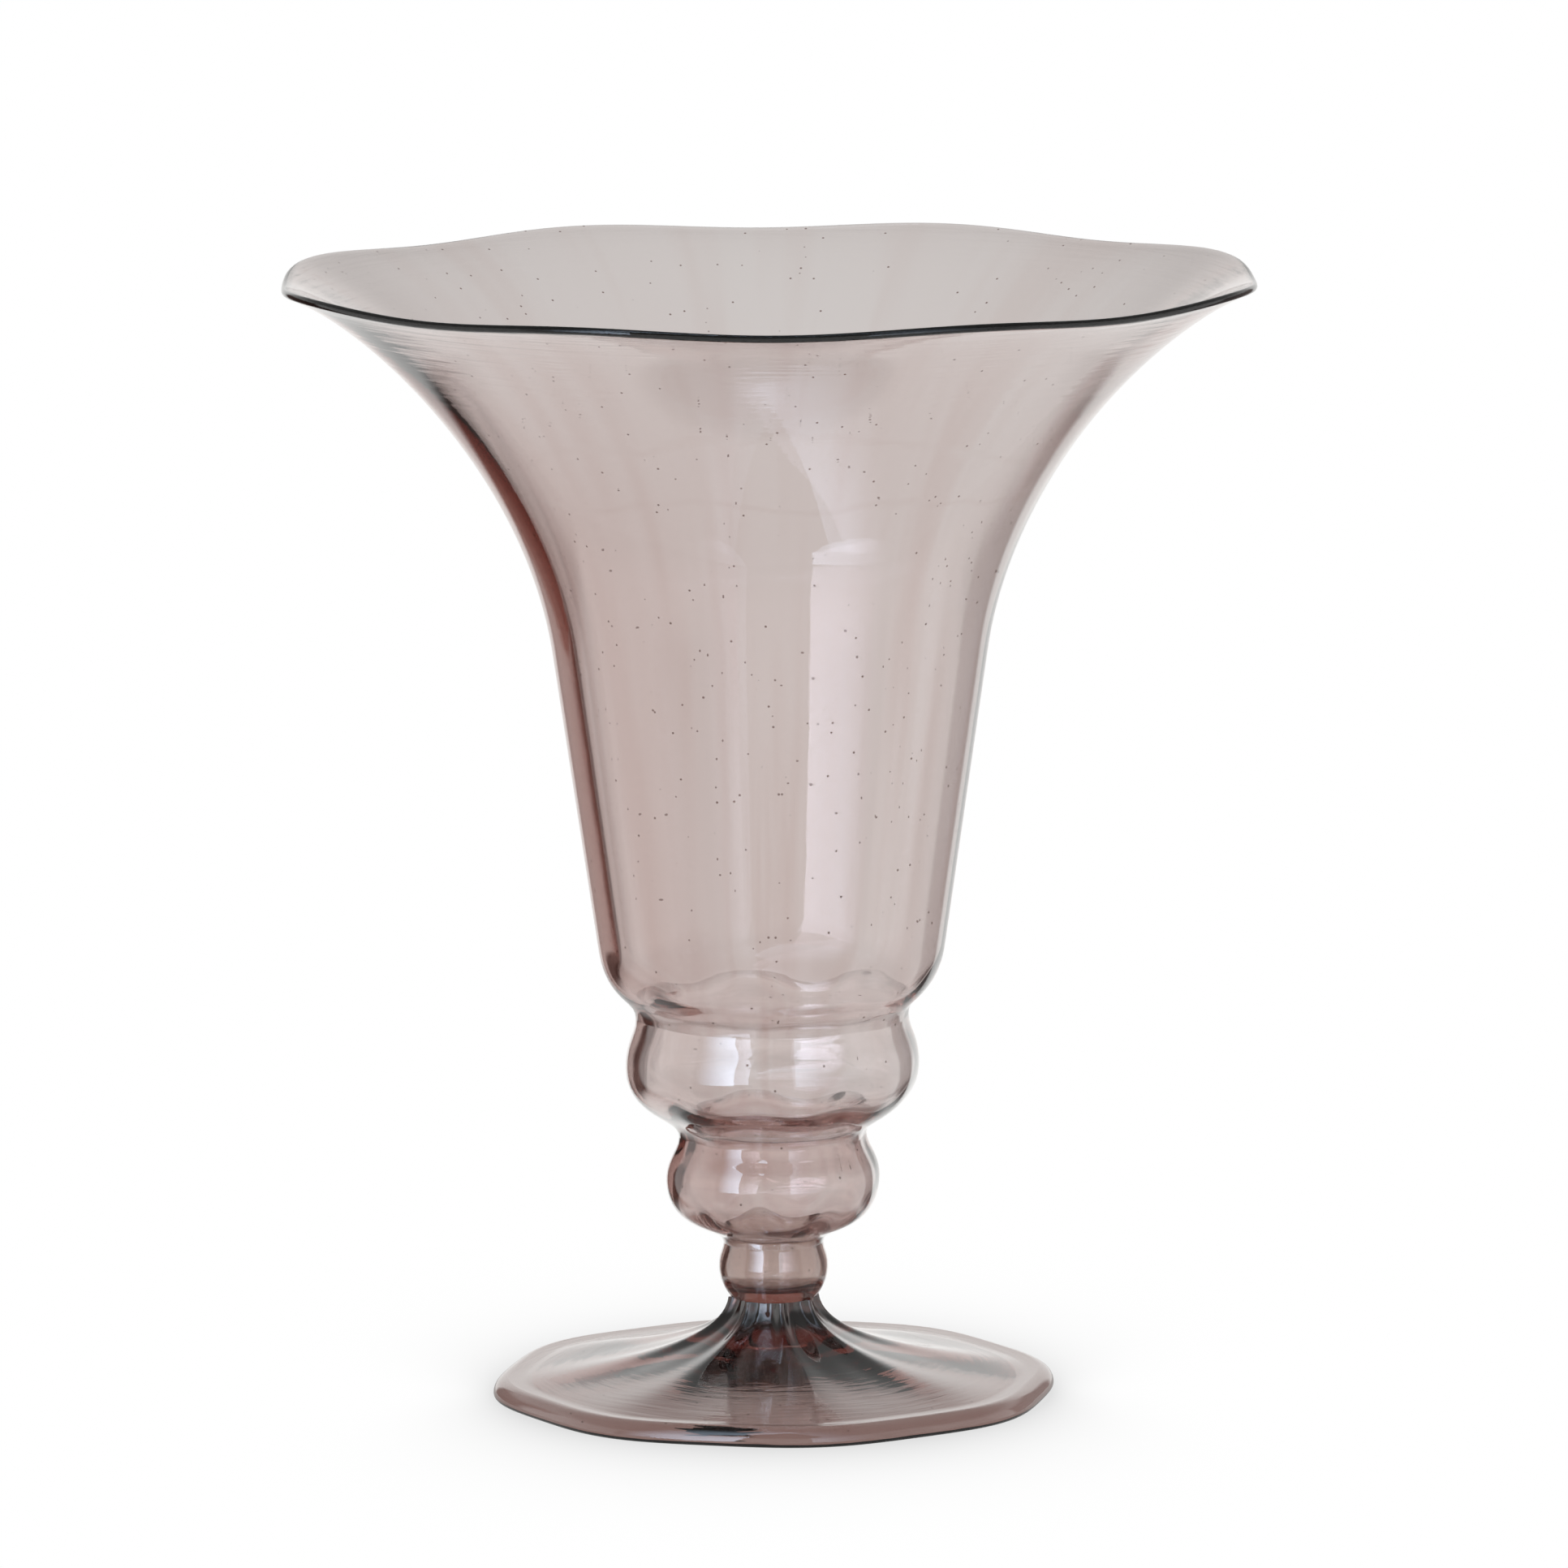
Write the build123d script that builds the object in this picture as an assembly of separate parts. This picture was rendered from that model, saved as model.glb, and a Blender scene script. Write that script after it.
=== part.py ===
from build123d import *
import os
from math import cos, pi, radians, sin

# A hand-blown trumpet vase in ribbed glass, made from five gathers that are joined hot.
# From the table up: a spread foot with a crown, a hollow knop, two hollow bulbs and a flared bowl.
# Z is up, X is to the right as seen from the front, and the origin is under the middle of the foot.
# All sizes are in millimetres and all angles in degrees.

# Ribs pressed into the glass by an optic mould
rib_count = 8
rib_angle = 12.5
foot_rib_angle = 9.5
rim_twist = 11.0

# Heights of the five pieces, which stack up to the whole vase
foot_height = 26.0
knop_height = 14.6
lower_bulb_height = 29.1
upper_bulb_height = 32.2
bowl_height = 197.4

# Mean radii where one piece is joined to the next
crown_radius = 11.0
knop_base_radius = 11.4
knop_neck_radius = 13.3
lower_waist_radius = 24.8
upper_waist_radius = 36.2

# Bowl: shoulder above the waist, straight tapered wall, throat, and flare up to the waved rim,
# which keeps to the wall over the stem's length and to the lip's pitch over the brim's
shoulder_radius = 46.0
shoulder_rise = 18.6
throat_radius = 57.6
throat_rise = 98.0
flare_stem = 51.0
flare_brim = 22.0
rim_radius = 128.4
rim_pitch = 20.0
rim_wave = 0.8

# Bulbs and knop: the widest radius, and how high it lies above the piece's own base
upper_belly_radius = 39.0
upper_belly_rise = 19.1
lower_belly_radius = 28.3
lower_belly_rise = 17.4
knop_belly_radius = 14.6
knop_belly_rise = 8.4

# Thickness of the glass, and how far the bore drifts from the middle
rim_wall = 2.0
bowl_wall = 2.8
upper_waist_wall = 3.4
upper_bulb_wall = 2.9
lower_waist_wall = 3.8
lower_bulb_wall = 2.5
neck_wall = 2.0
knop_wall = 1.6
knop_floor = 3.0
floor_round = 3.8
bore_drift = 0.9

# How far the ribs stand out from the mean radius, on the outside and in the bore,
# which they crowd as they gather above the neck, how sharp the foot's ribs are,
# and over which share of its slope they rise
body_relief = 0.5
bore_relief = 0.15
rim_relief = 1.6
rim_bore_relief = 1.4
gather_relief = 0.6
crown_relief = 1.2
foot_relief = 2.3
edge_relief = 1.0
rib_sharpness = 3.5
rib_onset = 0.33

# Foot: rolled edge that is widest at its heel, groove inside it, slope up to the crown,
# hollow underside and ground pontil mark
foot_radius = 74.3
edge_thickness = 5.2
edge_round = 4.4
edge_heel = 1.2
bead_width = 7.4
groove_depth = 0.5
slope_radius = 40.0
slope_height = 9.5
crown_lean = 1.5
crown_drop = 12.0
rest_radius = 64.0
hollow_depth = 8.0
pontil_radius = 9.0
pontil_depth = 0.6

# How fully the curves bulge before they turn in, as shares of their height
shoulder_fullness = 0.75
upper_belly_fullness = 0.7
lower_belly_fullness = 0.84
waist_fullness = 0.3
top_fullness = 0.5

# Heights of the joints above the table
knop_z = foot_height
lower_bulb_z = knop_z + knop_height
upper_bulb_z = lower_bulb_z + lower_bulb_height
bowl_z = upper_bulb_z + upper_bulb_height
rim_z = bowl_z + bowl_height

# Outlines along each curve, and points round each rib
curve_ring_count = 6
flare_ring_count = 8
edge_ring_count = 7
rib_point_count = 4


def ring(radius, height, relief=0.0, lift=0.0, turn=rib_angle, drift=0.0, crest=1.0):
    """A closed outline whose ribs stand out by relief and rise by lift; a higher crest is a sharper rib."""
    points = []
    count = rib_point_count * rib_count
    for step in range(count):
        angle = 2 * pi * step / count
        swell = 2 * ((1 + cos(rib_count * angle)) / 2) ** crest - 1
        reach = radius + relief * swell
        heading = angle + radians(turn)
        points.append((drift + reach * cos(heading), reach * sin(heading), height + lift * swell))
    return Wire([Edge.make_spline(points, periodic=True)])


def skin(rings):
    """The faces of a smooth surface through a run of outlines."""
    return Shell.make_loft(rings).faces()


def glass(*surfaces):
    """One closed piece of glass from the surfaces round it."""
    return Solid(Shell([face for surface in surfaces for face in surface]))


def blend(ends, share):
    """A value that eases from the first end to the second as share goes from 0 to 1."""
    return ends[0] + (ends[1] - ends[0]) * share * share * (3 - 2 * share)


def grow(ends, share):
    """A value that changes little near the first end and most near the second."""
    return ends[0] + (ends[1] - ends[0]) * share * share


def places(curve, count):
    """Evenly spaced places on a curve of radius against height, each with its share of the way."""
    return [(step / (count - 1), curve @ (step / (count - 1))) for step in range(count)]


def upright_curve(start, end, start_fullness, end_fullness):
    """A curve of radius against height that leaves and arrives upright."""
    rise = Vector(0, end.Y - start.Y)
    return Bezier(start, start + rise * start_fullness, end - rise * end_fullness, end)


# Relief of the ribs and drift of the bore where they stay the same along a wall
body_ribs = (body_relief, body_relief)
bore_ribs = (bore_relief, bore_relief)
body_drift = (bore_drift, bore_drift)


def wall_rings(curve, count, wall, relief, bore, drift=body_drift, gather=0.0, wave=0.0, twist=0.0):
    """Outlines of a hollow wall along a curve, outside and inside; pairs are values at its two ends."""
    outside = []
    inside = []
    for share, place in places(curve, count):
        way = curve % share
        inner = place + Vector(-way.Y, way.X) * blend(wall, share)
        inner_relief = grow(bore, share) + gather * sin(pi * share)
        lift = grow((0, wave), share)
        turn = grow((rib_angle, rib_angle + twist), share)
        outside.append(ring(place.X, place.Y, grow(relief, share), lift, turn))
        inside.append(ring(inner.X, inner.Y, inner_relief, lift, turn, grow(drift, share)))
    return outside, inside


def bulb(low, high):
    """A hollow bulb from its two walls, open at both ends, with a flat ring of glass at each."""
    outside = low[0] + high[0][1:]
    inside = low[1] + high[1][1:]
    base_joint = Face(outside[0], [inside[0]])
    top_joint = Face(outside[-1], [inside[-1]])
    return glass(skin(inside), [top_joint], skin(outside[::-1]), [base_joint])


def make_trumpet_bowl():
    """The bowl: up its bore from the waist, over the rounded rim and down its outside."""
    waist = Vector(upper_waist_radius, bowl_z)
    shoulder = Vector(shoulder_radius, bowl_z + shoulder_rise)
    throat = Vector(throat_radius, bowl_z + throat_rise)
    wall_way = (throat - shoulder).normalized()
    lip_way = Vector(cos(radians(rim_pitch)), sin(radians(rim_pitch)))
    lip_inward = Vector(-lip_way.Y, lip_way.X)
    lip = Vector(rim_radius, rim_z) - lip_inward * rim_wall

    flare = Bezier(throat, throat + wall_way * flare_stem, lip - lip_way * flare_brim, lip)
    neck = waist + Vector(0, shoulder_rise * waist_fullness)
    shoulder_curve = Bezier(waist, neck, shoulder - wall_way * (shoulder_rise * shoulder_fullness), shoulder)
    wall_line = Line(shoulder, throat)

    low = wall_rings(shoulder_curve, curve_ring_count, (upper_waist_wall, bowl_wall), body_ribs, bore_ribs)
    middle = wall_rings(wall_line, curve_ring_count, (bowl_wall, bowl_wall), body_ribs, bore_ribs)
    high = wall_rings(
        flare, flare_ring_count, (bowl_wall, rim_wall), (body_relief, rim_relief), (bore_relief, rim_bore_relief),
        drift=(bore_drift, 0), wave=rim_wave, twist=rim_twist,
    )
    outside = low[0] + middle[0][1:-1] + high[0]
    inside = low[1] + middle[1][1:-1] + high[1]

    centre = lip + lip_inward * (rim_wall / 2)
    rim = [outside[-1]]
    for step in range(1, edge_ring_count - 1):
        share = step / (edge_ring_count - 1)
        place = centre + (lip_way * sin(pi * share) - lip_inward * cos(pi * share)) * (rim_wall / 2)
        relief = blend((rim_relief, rim_bore_relief), share)
        rim.append(ring(place.X, place.Y, relief, rim_wave, rib_angle + rim_twist))
    rim.append(inside[-1])
    joint = Face(outside[0], [inside[0]])
    return glass(skin(inside), skin(rim[::-1]), skin(outside[::-1]), [joint])


def make_upper_bulb():
    """The larger bulb, between the two waists."""
    base = Vector(lower_waist_radius, upper_bulb_z)
    belly = Vector(upper_belly_radius, upper_bulb_z + upper_belly_rise)
    waist = Vector(upper_waist_radius, bowl_z)
    below = upright_curve(base, belly, waist_fullness, upper_belly_fullness)
    above = upright_curve(belly, waist, top_fullness, waist_fullness)
    low = wall_rings(below, curve_ring_count, (lower_waist_wall, upper_bulb_wall), body_ribs, bore_ribs)
    high = wall_rings(above, curve_ring_count, (upper_bulb_wall, upper_waist_wall), body_ribs, bore_ribs)
    return bulb(low, high)


def make_lower_bulb():
    """The smaller bulb, drawn in to the plain round neck above the knop."""
    neck = Vector(knop_neck_radius, lower_bulb_z)
    belly = Vector(lower_belly_radius, lower_bulb_z + lower_belly_rise)
    waist = Vector(lower_waist_radius, upper_bulb_z)
    below = upright_curve(neck, belly, waist_fullness, lower_belly_fullness)
    above = upright_curve(belly, waist, top_fullness, waist_fullness)
    low = wall_rings(
        below, curve_ring_count, (neck_wall, lower_bulb_wall), (0, body_relief), (0, bore_relief),
        drift=(0, bore_drift), gather=gather_relief,
    )
    high = wall_rings(above, curve_ring_count, (lower_bulb_wall, lower_waist_wall), body_ribs, bore_ribs)
    return bulb(low, high)


def make_stem_knop():
    """The plain round knop: open to the bulb above and closed by the floor that holds the water."""
    top_z = knop_z + knop_height
    floor_z = knop_z + knop_floor
    base = Vector(knop_base_radius, knop_z)
    belly = Vector(knop_belly_radius, knop_z + knop_belly_rise)
    neck = Vector(knop_neck_radius, top_z)
    bore_neck = Vector(knop_neck_radius - neck_wall, top_z)
    bore_side = Vector(knop_belly_radius - knop_wall, floor_z + floor_round)
    floor_edge = Vector(bore_side.X - floor_round, floor_z)
    outline = [
        Line((0, knop_z), base),
        TangentArc(belly, base, tangent=(0, -1)),
        upright_curve(belly, neck, top_fullness, waist_fullness),
        Line(neck, bore_neck),
        upright_curve(bore_side, bore_neck, top_fullness, waist_fullness),
        TangentArc(bore_side, floor_edge, tangent=(0, -1)),
        Polyline(floor_edge, (0, floor_z), (0, knop_z)),
    ]
    return revolve(Plane.XZ * make_face(outline), Axis.Z)


def make_foot():
    """The spread foot: rolled lobed edge, sharp ribs that climb to the crown, and a hollow underside."""
    edge = []
    for step in range(edge_ring_count):
        bend = pi * (step / (edge_ring_count - 1) - 0.5)
        inset = edge_round if bend > 0 else edge_heel
        rise = edge_thickness - edge_heel if bend > 0 else edge_heel
        radius = foot_radius - inset * (1 - cos(bend))
        edge.append(ring(radius, edge_heel + rise * sin(bend), edge_relief, turn=foot_rib_angle))

    groove = Vector(foot_radius - bead_width, edge_thickness - groove_depth)
    crown = Vector(crown_radius, foot_height)
    shank = crown + Vector(crown_lean, -crown_drop)
    slope = Bezier(groove, Vector(slope_radius, slope_height), shank, crown)
    top = [edge[-1]]
    for share, place in places(slope, 2 * curve_ring_count):
        relief = blend((edge_relief, foot_relief), min(1, share / rib_onset))
        relief = blend((relief, crown_relief), share)
        crest = blend((1, rib_sharpness), share)
        top.append(ring(place.X, place.Y, relief, turn=foot_rib_angle, crest=crest))
    body = glass([Face(edge[0])], skin(edge), skin(top), [Face(top[-1])])

    ball_radius = (rest_radius ** 2 + hollow_depth ** 2) / (2 * hollow_depth)
    hollow = Pos(0, 0, hollow_depth - ball_radius) * Sphere(ball_radius)
    pontil_height = hollow_depth + pontil_depth
    pontil = Cylinder(pontil_radius, pontil_height, align=(Align.CENTER, Align.CENTER, Align.MIN))
    return body - hollow - pontil


os.makedirs("parts", exist_ok=True)
export_step(make_trumpet_bowl(), "parts/trumpet_bowl.step")
export_step(make_upper_bulb(), "parts/upper_bulb.step")
export_step(make_lower_bulb(), "parts/lower_bulb.step")
export_step(make_stem_knop(), "parts/stem_knop.step")
export_step(make_foot(), "parts/foot.step")
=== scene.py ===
"""A hand-blown trumpet vase in ribbed amethyst glass, on a pale table in soft studio light."""

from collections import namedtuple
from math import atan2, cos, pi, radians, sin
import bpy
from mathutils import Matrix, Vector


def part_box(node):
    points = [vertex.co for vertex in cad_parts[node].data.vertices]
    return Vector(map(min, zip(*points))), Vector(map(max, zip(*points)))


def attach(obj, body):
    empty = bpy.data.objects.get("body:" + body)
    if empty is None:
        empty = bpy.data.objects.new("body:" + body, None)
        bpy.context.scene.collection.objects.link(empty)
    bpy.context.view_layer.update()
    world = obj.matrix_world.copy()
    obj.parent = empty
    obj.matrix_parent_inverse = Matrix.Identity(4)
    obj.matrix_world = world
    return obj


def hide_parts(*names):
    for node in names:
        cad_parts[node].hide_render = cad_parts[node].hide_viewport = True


bl_info = {
    "name": "Trumpet vase",
    "version": (1, 0, 0),
    "blender": (4, 5, 0),
    "location": "View3D > Sidebar > Vase",
    "description": "Builds a ribbed glass trumpet vase and the table and light that show it",
    "category": "Object",
}

import bmesh
import bpy
from bpy.props import FloatProperty, FloatVectorProperty, IntProperty, PointerProperty
from bpy.types import Operator, Panel, PropertyGroup
from mathutils import Matrix, Vector
from mathutils.geometry import interpolate_bezier

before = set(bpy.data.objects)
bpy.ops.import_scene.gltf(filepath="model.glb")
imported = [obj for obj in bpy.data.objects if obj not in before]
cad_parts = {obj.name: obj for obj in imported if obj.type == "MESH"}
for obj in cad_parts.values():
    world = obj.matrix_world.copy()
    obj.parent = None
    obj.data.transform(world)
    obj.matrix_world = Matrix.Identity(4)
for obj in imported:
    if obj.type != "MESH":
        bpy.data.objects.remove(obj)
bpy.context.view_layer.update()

# Heights of the joints above the table, from the parts in model.glb
foot_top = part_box("foot")[1].z
knop_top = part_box("stem_knop")[1].z
lower_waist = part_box("lower_bulb")[1].z
upper_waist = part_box("upper_bulb")[1].z

# Fineness of the meshes
CURVE_STEPS = 160
SPIN_STEPS = 192
RING_GAP = 0.0016
JOINT_RINGS = 2
ARC_STEPS = 12
EDGE_STEPS = 20
HOLLOW_STEPS = 40
STAGE_STEPS = 96
MERGE_GAP = 1e-7
CREASE = radians(50)

# The glass: its refraction, and how its patterns vary; pairs are where a change starts and ends
REFRACTION = 1.5
RING_SWAY = 3
RING_DETAIL = 2.0
CORD_CHANGE = 6
CORD_DETAIL = 3.0
CORD_SIDES = (0.45, 0.7)
FILM_DETAIL = 2.0
FILM_MEAN = 0.5
FILM_PATCHES = (0.5, 0.75)
TIDE_SWAY = 0.5
SEED_CORE = 0.5
POLISH_START = 0.5

# The stage: its strips, its tones and the bounces of its light; pairs are where a change starts and ends
STRIP_WAVES = 4
STRIP_SIDES = (-0.5, -0.1)
STRIP_FRONT = (-0.5, 0.5)
STRIP_RISE = (0.3, 0.55)
ROOF_RISE = (0.35, 0.65)
UNDER_FOOT = (0.3, 1.0)
BESIDE_FOOT = (1.05, 1.35)
CLEAR_OF_FOOT = (1.1, 1.5)
SOFTBOX_RISE = (0.35, 0.65)
WHITE = (1, 1, 1, 1)
TABLE_PAINT = (0.8, 0.8, 0.8, 1)
ROOM_LIGHT = 0.6
SEEN_LIGHT = 0.4
GLASS_BOUNCES = 32
GLOSS_BOUNCES = 16


def length(name, default, description):
    """A size in metres that a user may change."""
    return FloatProperty(name=name, description=description, default=default, unit="LENGTH", precision=5)


def angle(name, default, description):
    """An angle that a user may change, given here in degrees."""
    return FloatProperty(name=name, description=description, default=radians(default), subtype="ANGLE")


def amount(name, default, description):
    """A plain number that a user may change."""
    return FloatProperty(name=name, description=description, default=default)


def share(name, default, description):
    """A share of 1 that a user may change."""
    return FloatProperty(name=name, description=description, default=default, subtype="FACTOR")


def colour(name, default, description):
    """A colour that a user may change."""
    return FloatVectorProperty(
        name=name, description=description, default=default, subtype="COLOR", size=3, min=0, max=1
    )


class VaseRibs(PropertyGroup):
    """The ribs that an optic mould pressed into the glass."""

    count: IntProperty(name="Ribs", description="Ribs round the vase", default=8)
    turn: angle("Turn", 12.5, "Where the first rib of the body stands, from the right")
    foot_turn: angle("Foot turn", 9.5, "Where the first rib of the foot stands, from the right")
    rim_twist: angle("Rim twist", 11.0, "How far the ribs turn on up to the rim")
    body: length("Body relief", 0.0005, "How far the ribs stand out on the body")
    bore: length("Bore relief", 0.00015, "How far the ribs show inside the body")
    gather: length("Gather relief", 0.0006, "How far more they show inside, above the neck")
    rim: length("Rim relief", 0.0016, "How far the ribs stand out at the rim")
    rim_bore: length("Rim bore relief", 0.0014, "How far the ribs show inside the rim")
    crown: length("Crown relief", 0.0012, "How far the ribs stand out at the foot's crown")
    foot: length("Foot relief", 0.0023, "How far the ribs stand out on the foot's slope")
    edge: length("Edge relief", 0.001, "How far the ribs stand out at the foot's edge")
    sharpness: amount("Sharpness", 3.5, "How pointed the foot's ribs are at the crown")
    onset: share("Onset", 0.33, "The share of the foot's slope over which its ribs rise")


class VaseBowl(PropertyGroup):
    """The flared bowl."""

    waist_radius: length("Waist radius", 0.0362, "Radius where the bowl joins the bulb below")
    shoulder_radius: length("Shoulder radius", 0.046, "Radius of the shoulder above the waist")
    shoulder_rise: length("Shoulder rise", 0.0186, "Height of the shoulder above the waist")
    throat_radius: length("Throat radius", 0.0576, "Radius where the flare starts")
    throat_rise: length("Throat rise", 0.098, "Height of the throat above the waist")
    flare_stem: length("Flare stem", 0.051, "How far the flare keeps to the wall")
    flare_brim: length("Flare brim", 0.022, "How far the flare keeps to the lip")
    rim_radius: length("Rim radius", 0.1284, "Radius of the rim's inner edge")
    rim_rise: length("Rim rise", 0.1974, "Height of the rim above the waist")
    rim_pitch: angle("Rim pitch", 20.0, "How steeply the lip rises")
    rim_wave: length("Rim wave", 0.0008, "How far the rim rises at each rib")
    waist_wall: length("Waist wall", 0.0034, "Thickness of the glass at the waist")
    wall: length("Wall", 0.0028, "Thickness of the bowl's wall")
    rim_wall: length("Rim wall", 0.002, "Thickness of the lip")
    drift: length("Bore drift", 0.0009, "How far the bore lies off the middle")
    shoulder_fullness: share("Shoulder fullness", 0.75, "How fully the shoulder bulges")


class VaseBulbs(PropertyGroup):
    """The two hollow bulbs."""

    upper_radius: length("Upper radius", 0.039, "Widest radius of the upper bulb")
    upper_rise: length("Upper rise", 0.0191, "Height of its widest part above its base")
    upper_wall: length("Upper wall", 0.0029, "Thickness of its glass")
    upper_fullness: share("Upper fullness", 0.7, "How fully its underside bulges")
    waist_radius: length("Waist radius", 0.0248, "Radius where the two bulbs join")
    waist_wall: length("Waist wall", 0.0038, "Thickness of the glass where they join")
    lower_radius: length("Lower radius", 0.0283, "Widest radius of the lower bulb")
    lower_rise: length("Lower rise", 0.0174, "Height of its widest part above its base")
    lower_wall: length("Lower wall", 0.0025, "Thickness of its glass")
    lower_fullness: share("Lower fullness", 0.84, "How fully its underside bulges")
    neck_wall: length("Neck wall", 0.002, "Thickness of the glass at the neck above the knop")
    top_fullness: share("Top fullness", 0.5, "How fully a bulb bulges above its widest part")
    waist_fullness: share("Waist fullness", 0.3, "How long a curve stays upright at a waist")


class VaseKnop(PropertyGroup):
    """The small hollow knop."""

    neck_radius: length("Neck radius", 0.0133, "Radius where it joins the lower bulb")
    belly_radius: length("Belly radius", 0.0146, "Its widest radius")
    belly_rise: length("Belly rise", 0.0084, "Height of its widest part above the crown")
    base_radius: length("Base radius", 0.0114, "Radius where it sits on the crown")
    wall: length("Wall", 0.0016, "Thickness of its glass at the side")
    floor: length("Floor", 0.003, "Thickness of the floor that holds the water")
    floor_round: length("Floor round", 0.0038, "Rounding of the hollow above that floor")


class VaseFoot(PropertyGroup):
    """The spread foot."""

    radius: length("Radius", 0.0743, "Mean radius of the foot")
    edge_thickness: length("Edge thickness", 0.0052, "Thickness of the rolled edge")
    edge_round: length("Edge round", 0.0044, "How far the edge is rounded in above its widest part")
    edge_heel: length("Edge heel", 0.0012, "Height of the edge's widest part, and its rounding below")
    bead_width: length("Bead width", 0.0074, "Width of the rolled edge, out from the groove inside it")
    groove_depth: length("Groove depth", 0.0005, "Depth of that groove below the rolled edge")
    slope_radius: length("Slope radius", 0.04, "Where the slope bends up")
    slope_height: length("Slope height", 0.0095, "Height of that bend")
    crown_radius: length("Crown radius", 0.0110, "Mean radius of the crown")
    crown_lean: length("Crown lean", 0.0015, "How far the crown spreads at once below the knop")
    crown_drop: length("Crown drop", 0.012, "How far down the crown stays upright")
    joint_radius: length("Joint radius", 0.0096, "Radius of the hidden cone between knop and crown")
    joint_depth: length("Joint depth", 0.009, "Depth of that cone")
    rest_radius: length("Rest radius", 0.064, "Inner radius of the flat ring that it stands on")
    hollow_depth: length("Hollow depth", 0.008, "Depth of the hollow underside")
    pontil_radius: length("Pontil radius", 0.009, "Radius of the ground pontil mark")
    pontil_depth: length("Pontil depth", 0.0006, "Depth of the pontil mark")


class VaseGlass(PropertyGroup):
    """The glass itself, and the marks of its making."""

    tint: colour("Tint", (0.62, 0.32, 0.26), "What a thick piece of the glass lets through")
    bowl_density: amount("Bowl density", 88.0, "How strongly the bowl tints")
    bulb_density: amount("Bulb density", 70.0, "How strongly the upper bulb tints")
    low_density: amount("Low density", 150.0, "How strongly the lower bulb tints")
    knop_density: amount("Knop density", 110.0, "How strongly the knop tints")
    # The knop cast is painted shade: a darker cast on the knop's glass than on the other pieces
    knop_shade_cast: colour("Knop cast", (0.77, 0.69, 0.655), "Painted shade cast over the knop's glass")
    stem_density: amount("Stem density", 175.0, "How strongly the foot tints")
    foot_polish: share("Foot polish", 0.5, "How glossy the foot's slope is")
    polish_rise: length("Polish rise", 0.014, "Height above which the foot is as glossy as the bulbs")
    clear_cast: colour("Clear cast", (1.0, 1.0, 1.0), "Cast of the skin of the other pieces")
    fuse: length("Fuse", 0.00002, "How far one piece is fused into the next")
    seed_gap: length("Seed gap", 0.006, "Distance from one seed in the glass to the next")
    seed_size: length("Seed size", 0.00045, "Radius of a seed")
    seed_tone: colour("Seed tone", (0.12, 0.07, 0.06), "Colour of a seed")
    cord_tone: colour("Cord tone", (0.95, 0.915, 0.905), "Cast of the upright cords in the glass")
    cord_count: amount("Cords", 5.0, "How many cords there are round the glass")
    wave_gap: length("Wave gap", 0.03, "Width of the broad waves in the surface")
    wave_depth: length("Wave depth", 0.00006, "Depth of the broad waves")
    ring_gap: length("Ring gap", 0.0022, "Distance between the fine rings that turning leaves")
    ring_depth: length("Ring depth", 0.000006, "Depth of those rings on the walls")
    foot_ring_depth: length("Foot ring depth", 0.00016, "Depth of those rings at the foot's edge")
    foot_ring_rise: length("Foot ring rise", 0.016, "Height to which those rings reach on the foot")
    tool_spread: length("Tool spread", 0.006, "How far tool marks reach from a joint")
    tool_depth: length("Tool depth", 0.000015, "Depth of the tool marks at a joint")
    rim_tool_spread: length("Rim tool spread", 0.04, "How far tool marks reach from the rim")
    rim_tool_depth: length("Rim tool depth", 0.00005, "Depth of the tool marks at the rim")
    tide_height: length("Tide height", 0.247, "Height of the faint tide mark in the bowl")
    tide_width: length("Tide width", 0.0016, "Width of that mark")
    tide_tone: colour("Tide tone", (0.97, 0.955, 0.95), "Cast of that mark")
    haze: share("Haze", 0.03, "Roughness of the faint film on the glass")


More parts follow.
